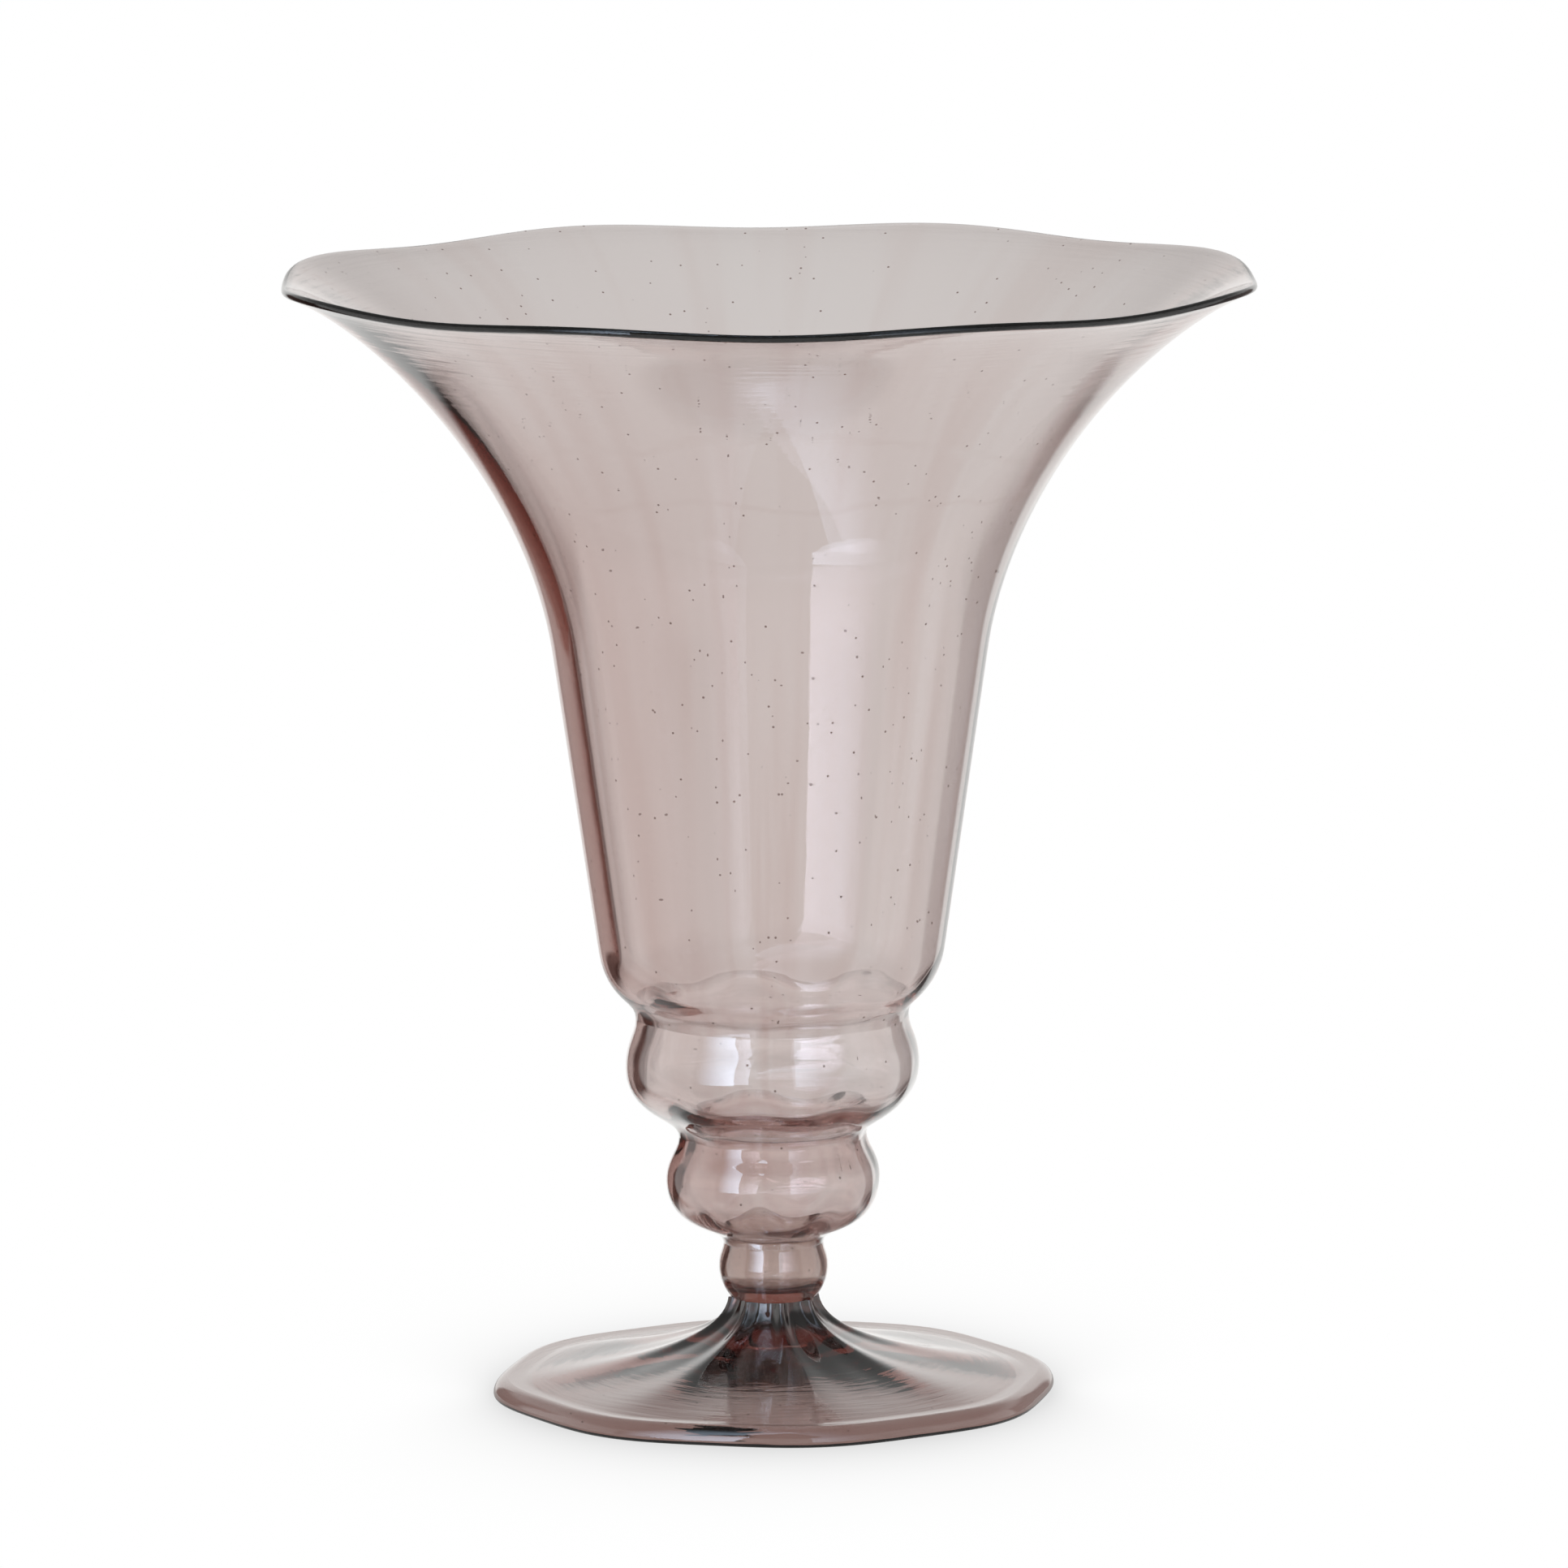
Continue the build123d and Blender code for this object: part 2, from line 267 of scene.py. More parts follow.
class VaseStage(PropertyGroup):
    """The table, the light tent and the camera."""

    camera_distance: length("Camera distance", 3.074, "From the vase's axis to the camera")
    camera_height: length("Camera height", 0.6435, "Camera above the table")
    camera_offset: length("Camera offset", 0.0034, "Camera to the right of the vase")
    camera_pitch: angle("Camera pitch", 8.866, "How far the camera looks down")
    camera_roll: angle("Camera roll", 0.27, "How far the camera leans")
    lens: amount("Lens", 269.4, "Focal length in millimetres")
    table_radius: length("Table radius", 0.3, "Radius of the round table")
    table_thickness: length("Table thickness", 0.02, "Thickness of the table top")
    tent_radius: length("Tent radius", 1.2, "Radius of the light tent round the table")
    tent_tone: colour("Tent tone", (0.69, 0.685, 0.675), "How the tent looks through the glass")
    left_strip: colour("Left strip", (0.07, 0.04, 0.035), "Colour of the tent's dark strips on the left")
    right_strip: colour("Right strip", (0.18, 0.15, 0.145), "Colour of those strips on the right")
    front_strip: share("Front strip", 0.4, "How strong the strips in front are beside those behind")
    gloss_light: amount("Gloss light", 1.4, "How much brighter the tent is in reflections")
    under_tone: share("Under tone", 0.42, "How bright the table is under the crown")
    under_edge_tone: share("Under edge tone", 0.58, "How bright the table is under the foot's edge")
    roof_tone: share("Roof tone", 0.3, "How bright the tent's roof is beside the rest")
    shadow_width: length("Shadow width", 0.0055, "How soon the shadow beside the foot fades")
    shadow_depth: amount("Shadow depth", 4.6, "How many times longer it is in front and behind")
    shadow_tone: share("Shadow tone", 0.25, "How dark the shadow is at the foot")
    softbox_tone: colour("Softbox tone", (0.65, 0.8, 1.0), "Colour of the softboxes")
    softbox_reach: length("Softbox reach", 0.9, "Distance of the softboxes from the vase")
    softbox_height: length("Softbox height", 1.0, "Height of the lower softboxes")
    softbox_drop: length("Softbox drop", 0.03, "How far they hang below the table top")
    softbox_fade: share("Softbox fade", 0.8, "How bright the softboxes are at the top beside the bottom")
    softbox_pitch: angle("Softbox pitch", 62.0, "How high the upper softboxes stand")
    top_height: length("Top height", 0.7, "Height of the upper softboxes")
    top_share: share("Top share", 0.55, "How bright the upper softboxes are beside the lower ones")
    left_heading: angle("Left heading", -41.0, "Where the left softboxes stand, from the front")
    right_heading: angle("Right heading", 36.0, "Where the right softboxes stand, from the front")
    left_width: length("Left width", 0.6, "Width of the left softboxes")
    right_width: length("Right width", 0.8, "Width of the right softboxes")
    left_light: amount("Left light", 5.0, "Brightness of the lower left softbox")
    right_light: amount("Right light", 1.6, "Brightness of the lower right softbox")


def settings():
    """The sizes of the vase: its ribs, bowl, bulbs, knop and foot."""
    scene = bpy.context.scene
    return scene.vase_ribs, scene.vase_bowl, scene.vase_bulbs, scene.vase_knop, scene.vase_foot


# One outline round the axis: its mean radius and height, and how the ribs shape it
Ring = namedtuple("Ring", "radius height relief lift turn drift crest", defaults=(0.0, 0.0, 0.0, 0.0, 1.0))

# The two sides of a hollow wall, each from the bottom up
Wall = namedtuple("Wall", "outside inside")


def ease(ends, part):
    """A value that eases from the first end to the second."""
    return ends[0] + (ends[1] - ends[0]) * part * part * (3 - 2 * part)


def grow(ends, part):
    """A value that changes little near the first end and most near the second."""
    return ends[0] + (ends[1] - ends[0]) * part * part


def point(radius, height):
    """A place on a profile of radius against height."""
    return Vector((radius, height, 0.0))


def walk(start, start_handle, end_handle, end):
    """Evenly spaced places on a curved profile, each with its share of the way and its heading."""
    fine = interpolate_bezier(start, start_handle, end_handle, end, CURVE_STEPS + 1)
    gone = [0.0]
    for before, after in zip(fine, fine[1:]):
        gone.append(gone[-1] + (after - before).length)
    count = max(2, round(gone[-1] / RING_GAP))
    steps = []
    span = 0
    for step in range(count + 1):
        reach = gone[-1] * step / count
        while span < CURVE_STEPS - 1 and gone[span + 1] < reach:
            span += 1
        along = (reach - gone[span]) / (gone[span + 1] - gone[span])
        heading = (fine[span + 1] - fine[span]).normalized()
        steps.append((step / count, fine[span].lerp(fine[span + 1], along), heading))
    return steps


def walk_upright(start, end, start_fullness, end_fullness):
    """Places on a curve that leaves and arrives upright."""
    rise = point(0.0, end.y - start.y)
    return walk(start, start + rise * start_fullness, end - rise * end_fullness, end)


def wall_rings(steps, wall, relief, bore, drift, turn, lift=(0.0, 0.0), gather=0.0):
    """Outlines of a hollow wall along a profile, outside and inside; pairs are values at its two ends."""
    rings = Wall([], [])
    for part, place, heading in steps:
        inner = place + Vector((-heading.y, heading.x, 0.0)) * ease(wall, part)
        shape = dict(lift=grow(lift, part), turn=grow(turn, part))
        bore_relief = grow(bore, part) + gather * sin(pi * part)
        rings.outside.append(Ring(place.x, place.y, grow(relief, part), **shape))
        rings.inside.append(Ring(inner.x, inner.y, bore_relief, drift=grow(drift, part), **shape))
    return rings


def stack(low, *walls):
    """One wall from several that follow on from each other."""
    outside = list(low.outside)
    inside = list(low.inside)
    for wall in walls:
        outside += wall.outside[1:]
        inside += wall.inside[1:]
    return Wall(outside, inside)


def sink(ring):
    """A ring that is fused a little way into the piece below."""
    return ring._replace(height=ring.height - bpy.context.scene.vase_glass.fuse)


def seat(wall):
    """Starts a wall with a joint that slants up into its bore, so that it doesn't mirror the light."""
    outside = [sink(wall.outside[0])] + wall.outside[1:]
    inside = [sink(wall.inside[JOINT_RINGS])] + wall.inside[JOINT_RINGS + 1:]
    return Wall(outside, inside)


def meet(wall, above):
    """Carries a wall's bore on to the slanted joint of the piece above."""
    return Wall(wall.outside, wall.inside + above.inside[1:JOINT_RINGS + 1])


def even_shape():
    """The relief, bore relief, drift and turn of a wall whose ribs stay the same all the way up."""
    ribs, bowl = settings()[:2]
    return [(same, same) for same in (ribs.body, ribs.bore, bowl.drift, ribs.turn)]


def bowl_wall():
    """The bowl's wall, from the waist over the shoulder and the throat to the lip."""
    ribs, bowl, bulbs = settings()[:3]
    waist = point(bowl.waist_radius, upper_waist)
    shoulder = point(bowl.shoulder_radius, upper_waist + bowl.shoulder_rise)
    throat = point(bowl.throat_radius, upper_waist + bowl.throat_rise)
    wall_way = (throat - shoulder).normalized()
    lip, lip_way, _ = lip_place()
    neck = waist + point(0.0, bowl.shoulder_rise * bulbs.waist_fullness)
    under = shoulder - wall_way * (bowl.shoulder_rise * bowl.shoulder_fullness)
    third = (throat - shoulder) / 3
    shoulder_steps = walk(waist, neck, under, shoulder)
    body_steps = walk(shoulder, shoulder + third, throat - third, throat)
    stem = throat + wall_way * bowl.flare_stem
    brim = lip - lip_way * bowl.flare_brim
    shape = even_shape()
    low = wall_rings(shoulder_steps, (bowl.waist_wall, bowl.wall), *shape, gather=ribs.gather)
    middle = wall_rings(body_steps, (bowl.wall, bowl.wall), *shape)
    high = wall_rings(
        walk(throat, stem, brim, lip), (bowl.wall, bowl.rim_wall),
        relief=(ribs.body, ribs.rim), bore=(ribs.bore, ribs.rim_bore), drift=(bowl.drift, 0.0),
        turn=(ribs.turn, ribs.turn + ribs.rim_twist), lift=(0.0, bowl.rim_wave),
    )
    return stack(low, middle, high)


def lip_place():
    """The lip's outer edge, the way that it points, and the way to its inner side."""
    bowl = settings()[1]
    way = point(cos(bowl.rim_pitch), sin(bowl.rim_pitch))
    inward = point(-way.y, way.x)
    return point(bowl.rim_radius, upper_waist + bowl.rim_rise) - inward * bowl.rim_wall, way, inward


def upper_wall():
    """The upper bulb's wall, from the lower waist to the upper one."""
    ribs, bowl, bulbs = settings()[:3]
    base = point(bulbs.waist_radius, lower_waist)
    belly = point(bulbs.upper_radius, lower_waist + bulbs.upper_rise)
    waist = point(bowl.waist_radius, upper_waist)
    shape = even_shape()
    below = walk_upright(base, belly, bulbs.waist_fullness, bulbs.upper_fullness)
    above = walk_upright(belly, waist, bulbs.top_fullness, bulbs.waist_fullness)
    low = wall_rings(below, (bulbs.waist_wall, bulbs.upper_wall), *shape, gather=ribs.gather)
    return stack(low, wall_rings(above, (bulbs.upper_wall, bowl.waist_wall), *shape))


def lower_wall():
    """The lower bulb's wall, from the neck to the lower waist."""
    ribs, bowl, bulbs, knop = settings()[:4]
    neck = point(knop.neck_radius, knop_top)
    belly = point(bulbs.lower_radius, knop_top + bulbs.lower_rise)
    waist = point(bulbs.waist_radius, lower_waist)
    below = walk_upright(neck, belly, bulbs.waist_fullness, bulbs.lower_fullness)
    above = walk_upright(belly, waist, bulbs.top_fullness, bulbs.waist_fullness)
    low = wall_rings(
        below, (bulbs.neck_wall, bulbs.lower_wall),
        relief=(0.0, ribs.body), bore=(0.0, ribs.bore), drift=(0.0, bowl.drift), turn=(ribs.turn, ribs.turn),
        gather=ribs.gather,
    )
    return stack(low, wall_rings(above, (bulbs.lower_wall, bulbs.waist_wall), *even_shape()))


def knop_wall():
    """The knop's wall: its outside from the crown up, and its bore from the middle of its floor up."""
    bulbs, knop = settings()[2:4]
    belly = point(knop.belly_radius, foot_top + knop.belly_rise)
    neck = point(knop.neck_radius, knop_top)
    lean = knop.belly_radius - knop.base_radius
    bow = (lean * lean + knop.belly_rise * knop.belly_rise) / (2 * lean)
    sweep = atan2(knop.belly_rise, bow - lean)
    outside = []
    for step in range(ARC_STEPS):
        bend = sweep * (1 - step / ARC_STEPS)
        outside.append(Ring(belly.x - bow + bow * cos(bend), belly.y - bow * sin(bend)))
    for _, place, _ in walk_upright(belly, neck, bulbs.top_fullness, bulbs.waist_fullness):
        outside.append(Ring(place.x, place.y))

    floor = foot_top + knop.floor
    side = point(knop.belly_radius - knop.wall, floor + knop.floor_round)
    bore_neck = point(knop.neck_radius - bulbs.neck_wall, knop_top)
    inside = [Ring(0.0, floor)]
    for step in range(ARC_STEPS):
        bend = pi / 2 * step / ARC_STEPS
        radius = side.x - knop.floor_round * (1 - sin(bend))
        inside.append(Ring(radius, side.y - knop.floor_round * cos(bend)))
    for _, place, _ in walk_upright(side, bore_neck, bulbs.top_fullness, bulbs.waist_fullness):
        inside.append(Ring(place.x, place.y))
    return Wall(outside, inside)


def shape_rib(vert, ring, count):
    """Moves one point of a spun wall out to its rib."""
    heading = atan2(vert.co.y, vert.co.x)
    swell = 2 * ((1 + cos(count * (heading - ring.turn))) / 2) ** ring.crest - 1
    reach = ring.radius + ring.relief * swell
    height = ring.height + ring.lift * swell
    vert.co = Vector((ring.drift + reach * cos(heading), reach * sin(heading), height))


def spin_shell(rings, closed):
    """Spins a profile into a shell, shapes its ribs and points its faces outwards."""
    ribs = settings()[0]
    bm = bmesh.new()
    order = bm.verts.layers.int.new("ring")
    line = []
    for index, ring in enumerate(rings):
        vert = bm.verts.new((ring.radius, 0.0, ring.height))
        vert[order] = index
        line.append(vert)
    pairs = list(zip(line, line[1:]))
    if closed:
        pairs.append((line[-1], line[0]))
    edges = [bm.edges.new(pair) for pair in pairs]
    bmesh.ops.spin(
        bm, geom=line + edges, cent=(0, 0, 0), axis=(0, 0, 1), dvec=(0, 0, 0),
        angle=2 * pi, steps=SPIN_STEPS, use_merge=True,
    )
    for vert in bm.verts:
        shape_rib(vert, rings[vert[order]], ribs.count)
    bmesh.ops.remove_doubles(bm, verts=bm.verts, dist=MERGE_GAP)
    bmesh.ops.recalc_face_normals(bm, faces=bm.faces)
    return bm


def make_object(bm, name, material):
    """Makes a smooth object of a mesh, with its creases kept sharp."""
    mesh = bpy.data.meshes.new(name)
    bm.to_mesh(mesh)
    bm.free()
    mesh.shade_smooth()
    mesh.set_sharp_from_angle(angle=CREASE)
    mesh.materials.append(material)
    made = bpy.data.objects.new(name, mesh)
    bpy.context.scene.collection.objects.link(made)
    return made


def finish_piece(bm, name, node, material):
    """Makes the piece's object, which stands for its node and moves with the vase."""
    piece = make_object(bm, name, material)
    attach(piece, "root")
    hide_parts(node)


class Value:
    """A socket that takes part in Python expressions; each operation adds a Math node."""

    def __init__(self, shader, socket):
        self.shader = shader
        self.socket = socket

    def math(self, operation, *values):
        """Adds a Math node that works on the values."""
        node = self.shader.node("ShaderNodeMath", dict(operation=operation))
        for socket, value in zip(node.inputs, values):
            self.shader.feed(socket, value)
        return Value(self.shader, node.outputs[0])

    def __add__(self, other):
        return self.math("ADD", self, other)

    def __radd__(self, other):
        return self.math("ADD", other, self)

    def __sub__(self, other):
        return self.math("SUBTRACT", self, other)

    def __rsub__(self, other):
        return self.math("SUBTRACT", other, self)

    def __mul__(self, other):
        return self.math("MULTIPLY", self, other)

    def __rmul__(self, other):
        return self.math("MULTIPLY", other, self)

    def __truediv__(self, other):
        return self.math("DIVIDE", self, other)


class Shader:
    """The nodes of one material or of the world."""

    def __init__(self, owner):
        owner.use_nodes = True
        self.tree = owner.node_tree
        self.tree.nodes.clear()

    def feed(self, socket, value):
        """Links a socket or sets its value."""
        if isinstance(value, Value):
            self.tree.links.new(value.socket, socket)
        else:
            socket.default_value = value

    def node(self, kind, options=None, **values):
        """Adds a node, sets its options and then its sockets, whose names have _ for a space."""
        node = self.tree.nodes.new(kind)
        for name, option in (options or {}).items():
            setattr(node, name, option)
        for name, value in values.items():
            self.feed(node.inputs[name.replace("_", " ")], value)
        return node

    def blend(self, factor, first, second):
        """A colour between two others."""
        node = self.node("ShaderNodeMix", dict(data_type="RGBA"), Factor=factor)
        self.feed(node.inputs[6], first)
        self.feed(node.inputs[7], second)
        return Value(self, node.outputs[2])

    def cover(self, factor, under, over):
        """One surface laid over another."""
        node = self.node("ShaderNodeMixShader", None, Fac=factor)
        self.feed(node.inputs[1], under)
        self.feed(node.inputs[2], over)
        return Value(self, node.outputs[0])

    def out(self, node, name):
        """A node's output, ready for expressions."""
        return Value(self, node.outputs[name])


# A point of a surface: its place, its distance from the axis, its height and the two parts of its heading
Spot = namedtuple("Spot", "place reach height across along")


def find_spot(shader):
    """Where a point of the surface is: its place, distance from the axis, height and heading."""
    place = shader.out(shader.node("ShaderNodeTexCoord"), "Object")
    axes = shader.node("ShaderNodeSeparateXYZ", None, Vector=place)
    across = shader.out(axes, "X")
    along = shader.out(axes, "Y")
    reach = across.math("SQRT", across * across + along * along)
    return Spot(place, reach, shader.out(axes, "Z"), across / reach, along / reach)


def smooth(shader, value, start, end, low, high):
    """Eases from low at the start to high at the end of a value's way."""
    node = shader.node(
        "ShaderNodeMapRange", dict(interpolation_type="SMOOTHSTEP"),
        Value=value, From_Min=start, From_Max=end, To_Min=low, To_Max=high,
    )
    return shader.out(node, "Result")


def worn_rings(shader, spot, gap):
    """Fine uneven rings round the axis, as tools leave on glass that is turned."""
    way = shader.node(
        "ShaderNodeCombineXYZ", None,
        X=spot.across * RING_SWAY, Y=spot.along * RING_SWAY, Z=spot.height / gap,
    )
    noise = shader.node(
        "ShaderNodeTexNoise", dict(noise_dimensions="4D"),
        Vector=shader.out(way, "Vector"), W=spot.reach / gap, Scale=1.0, Detail=RING_DETAIL,
    )
    return shader.out(noise, "Fac")


def upright_cords(shader, spot, count):
    """1 in the middle of the faint upright cords of the glass, 0 between them."""
    way = shader.node(
        "ShaderNodeCombineXYZ", None,
        X=spot.across * count, Y=spot.along * count, Z=spot.height * CORD_CHANGE,
    )
    noise = shader.node(
        "ShaderNodeTexNoise", None, Vector=shader.out(way, "Vector"), Scale=1.0, Detail=CORD_DETAIL
    )
    return smooth(shader, shader.out(noise, "Fac"), *CORD_SIDES, 0.0, 1.0)


def glass_material(name, density, polish, cast, tools, polish_rise=None, tide_height=None):
    """Worked glass that tints light by its depth; tools are heights, spreads and depths of tool marks."""
    glass = bpy.context.scene.vase_glass
    material = bpy.data.materials.new(name)
    shader = Shader(material)
    spot = find_spot(shader)
    patches = shader.node(
        "ShaderNodeTexNoise", None, Vector=spot.place, Scale=1 / glass.wave_gap, Detail=FILM_DETAIL
    )
    film = shader.out(patches, "Fac")

    depth = glass.ring_depth
    for height, spread, extra in tools:
        off = spot.height.math("ABSOLUTE", spot.height - height)
        depth = depth + smooth(shader, off, 0.0, spread, extra, 0.0)
    surface_height = worn_rings(shader, spot, glass.ring_gap) * depth + film * glass.wave_depth
    bump = shader.node("ShaderNodeBump", None, Strength=1.0, Distance=1.0, Height=surface_height)

    cord_cast = [skin * cord for skin, cord in zip(cast, glass.cord_tone)]
    cast = shader.blend(upright_cords(shader, spot, glass.cord_count), (*cast, 1), (*cord_cast, 1))
    if tide_height:
        off = spot.height - tide_height + (film - FILM_MEAN) * (glass.wave_gap * TIDE_SWAY)
        tide = smooth(shader, off.math("ABSOLUTE", off), 0.0, glass.tide_width, 1.0, 0.0)
        cast = shader.blend(tide, cast, (*glass.tide_tone, 1))
    cells = shader.node("ShaderNodeTexVoronoi", None, Vector=spot.place, Scale=1 / glass.seed_gap)
    off = shader.out(cells, "Distance") * glass.seed_gap
    seed = smooth(shader, off, glass.seed_size * SEED_CORE, glass.seed_size, 1.0, 0.0)
    cast = shader.blend(seed, cast, (*glass.seed_tone, 1))
    if polish_rise:
        polish = smooth(shader, spot.height, polish_rise * POLISH_START, polish_rise, polish, 1.0)
    surface = shader.node(
        "ShaderNodeBsdfPrincipled", None,
        Base_Color=cast, Roughness=smooth(shader, film, *FILM_PATCHES, 0.0, glass.haze), IOR=REFRACTION,
        Transmission_Weight=1.0, Coat_Weight=polish, Normal=shader.out(bump, "Normal"),
    )
    body = shader.node("ShaderNodeVolumeAbsorption", None, Color=(*glass.tint, 1), Density=density)
    shader.node(
        "ShaderNodeOutputMaterial", None,
        Surface=shader.out(surface, "BSDF"), Volume=shader.out(body, "Volume"),
    )
    return material


class VASE_OT_bowl(Operator):
    """Builds the flared bowl with its waved rim"""

    bl_idname = "vase.bowl"
    bl_label = "Bowl"

    def execute(self, context):
        ribs, bowl = settings()[:2]
        glass = context.scene.vase_glass
        wall = seat(bowl_wall())
        lip, lip_way, inward = lip_place()
        centre = lip + inward * (bowl.rim_wall / 2)
        rim = []
        for step in range(1, ARC_STEPS):
            bend = pi * step / ARC_STEPS
            place = centre + (lip_way * sin(bend) - inward * cos(bend)) * (bowl.rim_wall / 2)
            relief = ease((ribs.rim, ribs.rim_bore), step / ARC_STEPS)
            rim.append(Ring(place.x, place.y, relief, bowl.rim_wave, ribs.turn + ribs.rim_twist))
        bm = spin_shell(wall.outside + rim + wall.inside[::-1], closed=True)
        rim_tools = (upper_waist + bowl.rim_rise, glass.rim_tool_spread, glass.rim_tool_depth)
        waist_tools = (upper_waist, glass.tool_spread, glass.tool_depth)
        material = glass_material(
            "bowl_glass", glass.bowl_density, 0.0, glass.clear_cast, (rim_tools, waist_tools),
            tide_height=glass.tide_height,
        )
        finish_piece(bm, "bowl", "trumpet_bowl", material)
        return {"FINISHED"}


class VASE_OT_bulbs(Operator):
    """Builds the two hollow bulbs"""

    bl_idname = "vase.bulbs"
    bl_label = "Bulbs"

    def execute(self, context):
        glass = context.scene.vase_glass
        upper = ("bulb_glass", glass.bulb_density, (lower_waist, upper_waist))
        lower = ("low_bulb_glass", glass.low_density, (knop_top, lower_waist))
        for name, node, wall, above, (finish, density, joints) in (
            ("bulb_upper", "upper_bulb", upper_wall(), bowl_wall(), upper),
            ("bulb_lower", "lower_bulb", lower_wall(), upper_wall(), lower),
        ):
            tools = [(height, glass.tool_spread, glass.tool_depth) for height in joints]
            material = glass_material(finish, density, 1.0, glass.clear_cast, tools)
            wall = meet(seat(wall), above)
            bm = spin_shell(wall.outside + wall.inside[::-1], closed=True)
            finish_piece(bm, name, node, material)
        return {"FINISHED"}


class VASE_OT_knop(Operator):
    """Builds the hollow knop, which is open to the bulb above"""

    bl_idname = "vase.knop"
    bl_label = "Knop"

    def execute(self, context):
        foot = settings()[4]
        glass = context.scene.vase_glass
        wall = meet(knop_wall(), lower_wall())
        joint = [Ring(0.0, foot_top - foot.joint_depth), Ring(foot.joint_radius, foot_top), wall.outside[0]]
        joint = [sink(ring) for ring in joint]
        bm = spin_shell(joint + wall.outside[1:] + wall.inside[::-1], closed=False)
        tools = [(knop_top, glass.tool_spread, glass.tool_depth)]
        # The knop's glass takes the darker knop cast, which is painted shade
        material = glass_material("knop_glass", glass.knop_density, 1.0, glass.knop_shade_cast, tools)
        finish_piece(bm, "knop", "stem_knop", material)
        return {"FINISHED"}


class VASE_OT_foot(Operator):
    """Builds the spread foot with its ribs and crown"""

    bl_idname = "vase.foot"
    bl_label = "Foot"

    def execute(self, context):
        ribs, *_, foot = settings()
        glass = context.scene.vase_glass
        pontil_top = foot.hollow_depth + foot.pontil_depth
        ball = (foot.rest_radius ** 2 + foot.hollow_depth ** 2) / (2 * foot.hollow_depth)
        middle = foot.hollow_depth - ball
        rings = [Ring(0.0, pontil_top), Ring(foot.pontil_radius, pontil_top)]
        for step in range(HOLLOW_STEPS + 1):
            radius = foot.pontil_radius + (foot.rest_radius - foot.pontil_radius) * step / HOLLOW_STEPS
            rings.append(Ring(radius, max(0.0, middle + (ball * ball - radius * radius) ** 0.5)))

        for step in range(EDGE_STEPS + 1):
            bend = pi * (step / EDGE_STEPS - 0.5)
            inset, rise = (foot.edge_heel, foot.edge_heel)
            if bend > 0:
                inset, rise = (foot.edge_round, foot.edge_thickness - foot.edge_heel)
            radius = foot.radius - inset * (1 - cos(bend))
            rings.append(Ring(radius, foot.edge_heel + rise * sin(bend), ribs.edge, turn=ribs.foot_turn))

        groove = point(foot.radius - foot.bead_width, foot.edge_thickness - foot.groove_depth)
        crown = point(foot.crown_radius, foot_top)
        shank = crown + point(foot.crown_lean, -foot.crown_drop)
        slope = walk(groove, point(foot.slope_radius, foot.slope_height), shank, crown)
        for part, place, _ in slope:
            relief = ease((ribs.edge, ribs.foot), min(1.0, part / ribs.onset))
            relief = ease((relief, ribs.crown), part)
            crest = ease((1.0, ribs.sharpness), part)
            rings.append(Ring(place.x, place.y, relief, turn=ribs.foot_turn, crest=crest))
        rings.append(Ring(foot.joint_radius, foot_top))
        rings.append(Ring(0.0, foot_top - foot.joint_depth))

        bm = spin_shell(rings, closed=False)
        tools = [(0.0, glass.foot_ring_rise, glass.foot_ring_depth)]
        material = glass_material(
            "foot_glass", glass.stem_density, glass.foot_polish, glass.clear_cast, tools, glass.polish_rise
        )
        finish_piece(bm, "foot_spread", "foot", material)
        return {"FINISHED"}


def seen_rays(shader):
    """1 for rays that show the background: from the camera, off gloss and through glass."""
    path = shader.node("ShaderNodeLightPath")
    total = shader.out(path, "Is Camera Ray") + shader.out(path, "Is Glossy Ray")
    total = total + shader.out(path, "Is Transmission Ray")
    return total.math("MINIMUM", total, 1.0)


def tent_look(shader, spot, shown):
    """The tent's colour: pale, with upright dark strips, darkest and warmest on the left, where shown."""
    stage = bpy.context.scene.vase_stage
    heading = spot.along.math("ARCTAN2", spot.along, spot.across)
    wave = heading.math("COSINE", heading * STRIP_WAVES)
    side = smooth(shader, spot.across, -1.0, 1.0, 0.0, 1.0)
    strip = shader.blend(side, (*stage.left_strip, 1), (*stage.right_strip, 1))
    behind = smooth(shader, spot.along, *STRIP_FRONT, stage.front_strip, 1.0)
    strips = smooth(shader, wave, *STRIP_SIDES, 1.0, 0.0) * behind * shown
    return shader.blend(strips, (*stage.tent_tone, 1), strip)


def tent_material():
    """The white cloth of the tent, lit from outside, with a dim roof."""
    stage = bpy.context.scene.vase_stage
    material = bpy.data.materials.new("tent_cloth")
    shader = Shader(material)
    spot = find_spot(shader)
    roof_edges = [stage.tent_radius * edge for edge in ROOF_RISE]
    roof = smooth(shader, spot.height, *roof_edges, 1.0, stage.roof_tone)
    gloss = shader.out(shader.node("ShaderNodeLightPath"), "Is Reflection Ray")
    light = roof * (1 + gloss * (stage.gloss_light - 1))
    level = spot.height.math("ABSOLUTE", spot.height)
    strip_ends = [stage.tent_radius * end for end in STRIP_RISE]
    shown = smooth(shader, level, *strip_ends, 1.0, 0.0)
    glow = shader.node("ShaderNodeEmission", None, Color=tent_look(shader, spot, shown), Strength=light)
    shader.node("ShaderNodeOutputMaterial", None, Surface=shader.out(glow, "Emission"))
    return material


